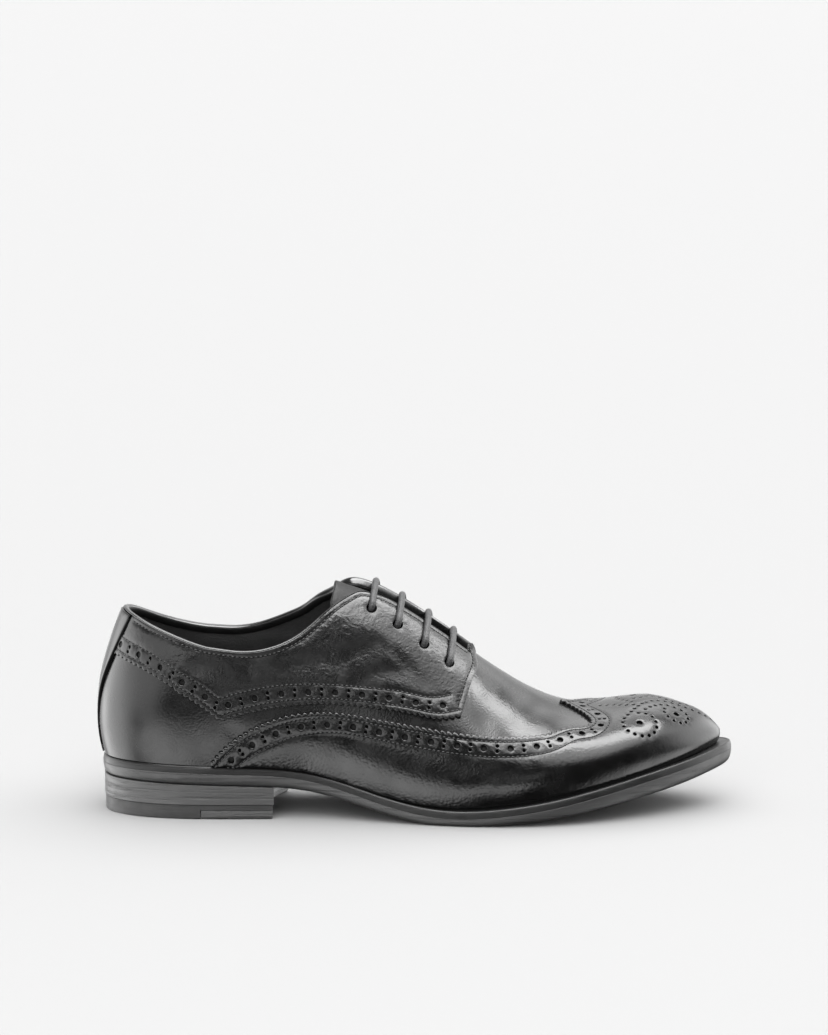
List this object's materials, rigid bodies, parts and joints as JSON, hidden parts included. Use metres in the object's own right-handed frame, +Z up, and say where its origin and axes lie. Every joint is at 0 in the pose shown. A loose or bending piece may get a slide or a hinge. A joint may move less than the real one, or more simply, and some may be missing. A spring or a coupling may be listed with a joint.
{
  "type": "brogue",
  "caption": "Black leather derby brogue for the right foot: open lacing, wing cap and quarters with punched borders, leather sole with welt, toe spring and a stacked heel.",
  "frame": {"origin": "middle of the shoe's box seen from above, on the floor under heel and forefoot", "axes": "+X from heel to toe, +Y to the medial side, +Z up"},
  "size_m": [0.3062, 0.1016, 0.113],
  "materials": {
    "vamp_leather": "semi-gloss black calf with a fine grain",
    "wing_leather": "semi-gloss black calf with punched borders",
    "quarter_leather": "semi-gloss black calf with punched borders",
    "strip_leather": "semi-gloss black calf",
    "tongue_leather": "satin black leather",
    "insole_lining": "matt black lining leather",
    "welt_leather": "waxed black edge",
    "sole_leather": "waxed black edge",
    "stacked_leather": "satin dark grey stacked leather",
    "heel_rubber": "matt black rubber",
    "waxed_cord": "round waxed cotton cord"
  },
  "bodies": {
    "root": {"upper": "vamp_leather", "wing_cap": "wing_leather", "quarter_lateral": "quarter_leather", "quarter_medial": "quarter_leather", "back_strip": "strip_leather", "tongue": "tongue_leather", "insole": "insole_lining", "welt": "welt_leather", "outsole": "sole_leather", "heel_stack": "stacked_leather", "heel_front_lift": "stacked_leather", "heel_top_piece": "heel_rubber", "lace_bar_1": "waxed_cord", "lace_bar_2": "waxed_cord", "lace_bar_3": "waxed_cord", "lace_bar_4": "waxed_cord"}
  },
  "joints": []
}
